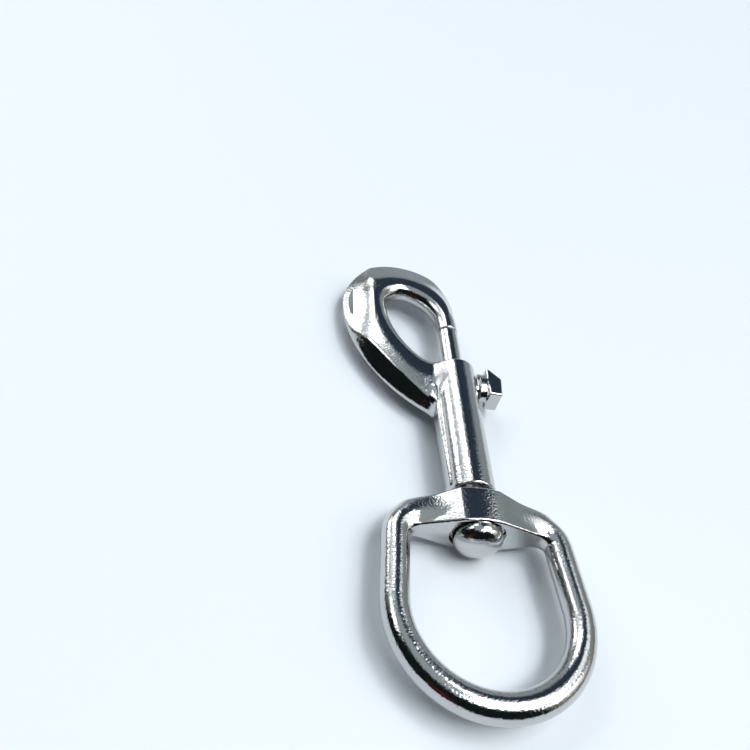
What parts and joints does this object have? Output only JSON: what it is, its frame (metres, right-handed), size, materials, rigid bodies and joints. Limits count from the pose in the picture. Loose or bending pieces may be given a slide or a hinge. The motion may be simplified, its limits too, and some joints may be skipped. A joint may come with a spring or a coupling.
{
  "type": "snap shackle",
  "caption": "Swivel-eye bolt snap in nickel-plated zinc: a D eye, a barrel with a sliding bolt and thumb knob, and a fixed hook.",
  "frame": {"origin": "centre of the eye's round end, on the swivel axis", "axes": "+Y along the swivel axis from the eye to the hook, +X towards the thumb knob, +Z out of the front face"},
  "size_m": [0.04, 0.101, 0.0094],
  "materials": {
    "nickel_plate": "polished",
    "spring_steel": "satin"
  },
  "bodies": {
    "hook": {"hook_body": "nickel_plate", "swivel_post": "nickel_plate", "bolt_spring": "spring_steel"},
    "bolt": {"bolt": "nickel_plate", "thumb_knob": "nickel_plate"},
    "eye": {"swivel_eye": "nickel_plate"}
  },
  "joints": [
    {"name": "bolt_slide", "type": "slide", "parent": "hook", "child": "bolt", "axis": [0, -1, 0], "range_m": [0, 0.01], "stiffness_N_per_m": 400, "springref_m": -0.01, "deforming": ["bolt_spring"]},
    {"name": "eye_swivel", "type": "hinge", "parent": "hook", "child": "eye", "pos_m": [0, 0.0166, 0], "axis": [0, 1, 0], "continuous": true}
  ]
}
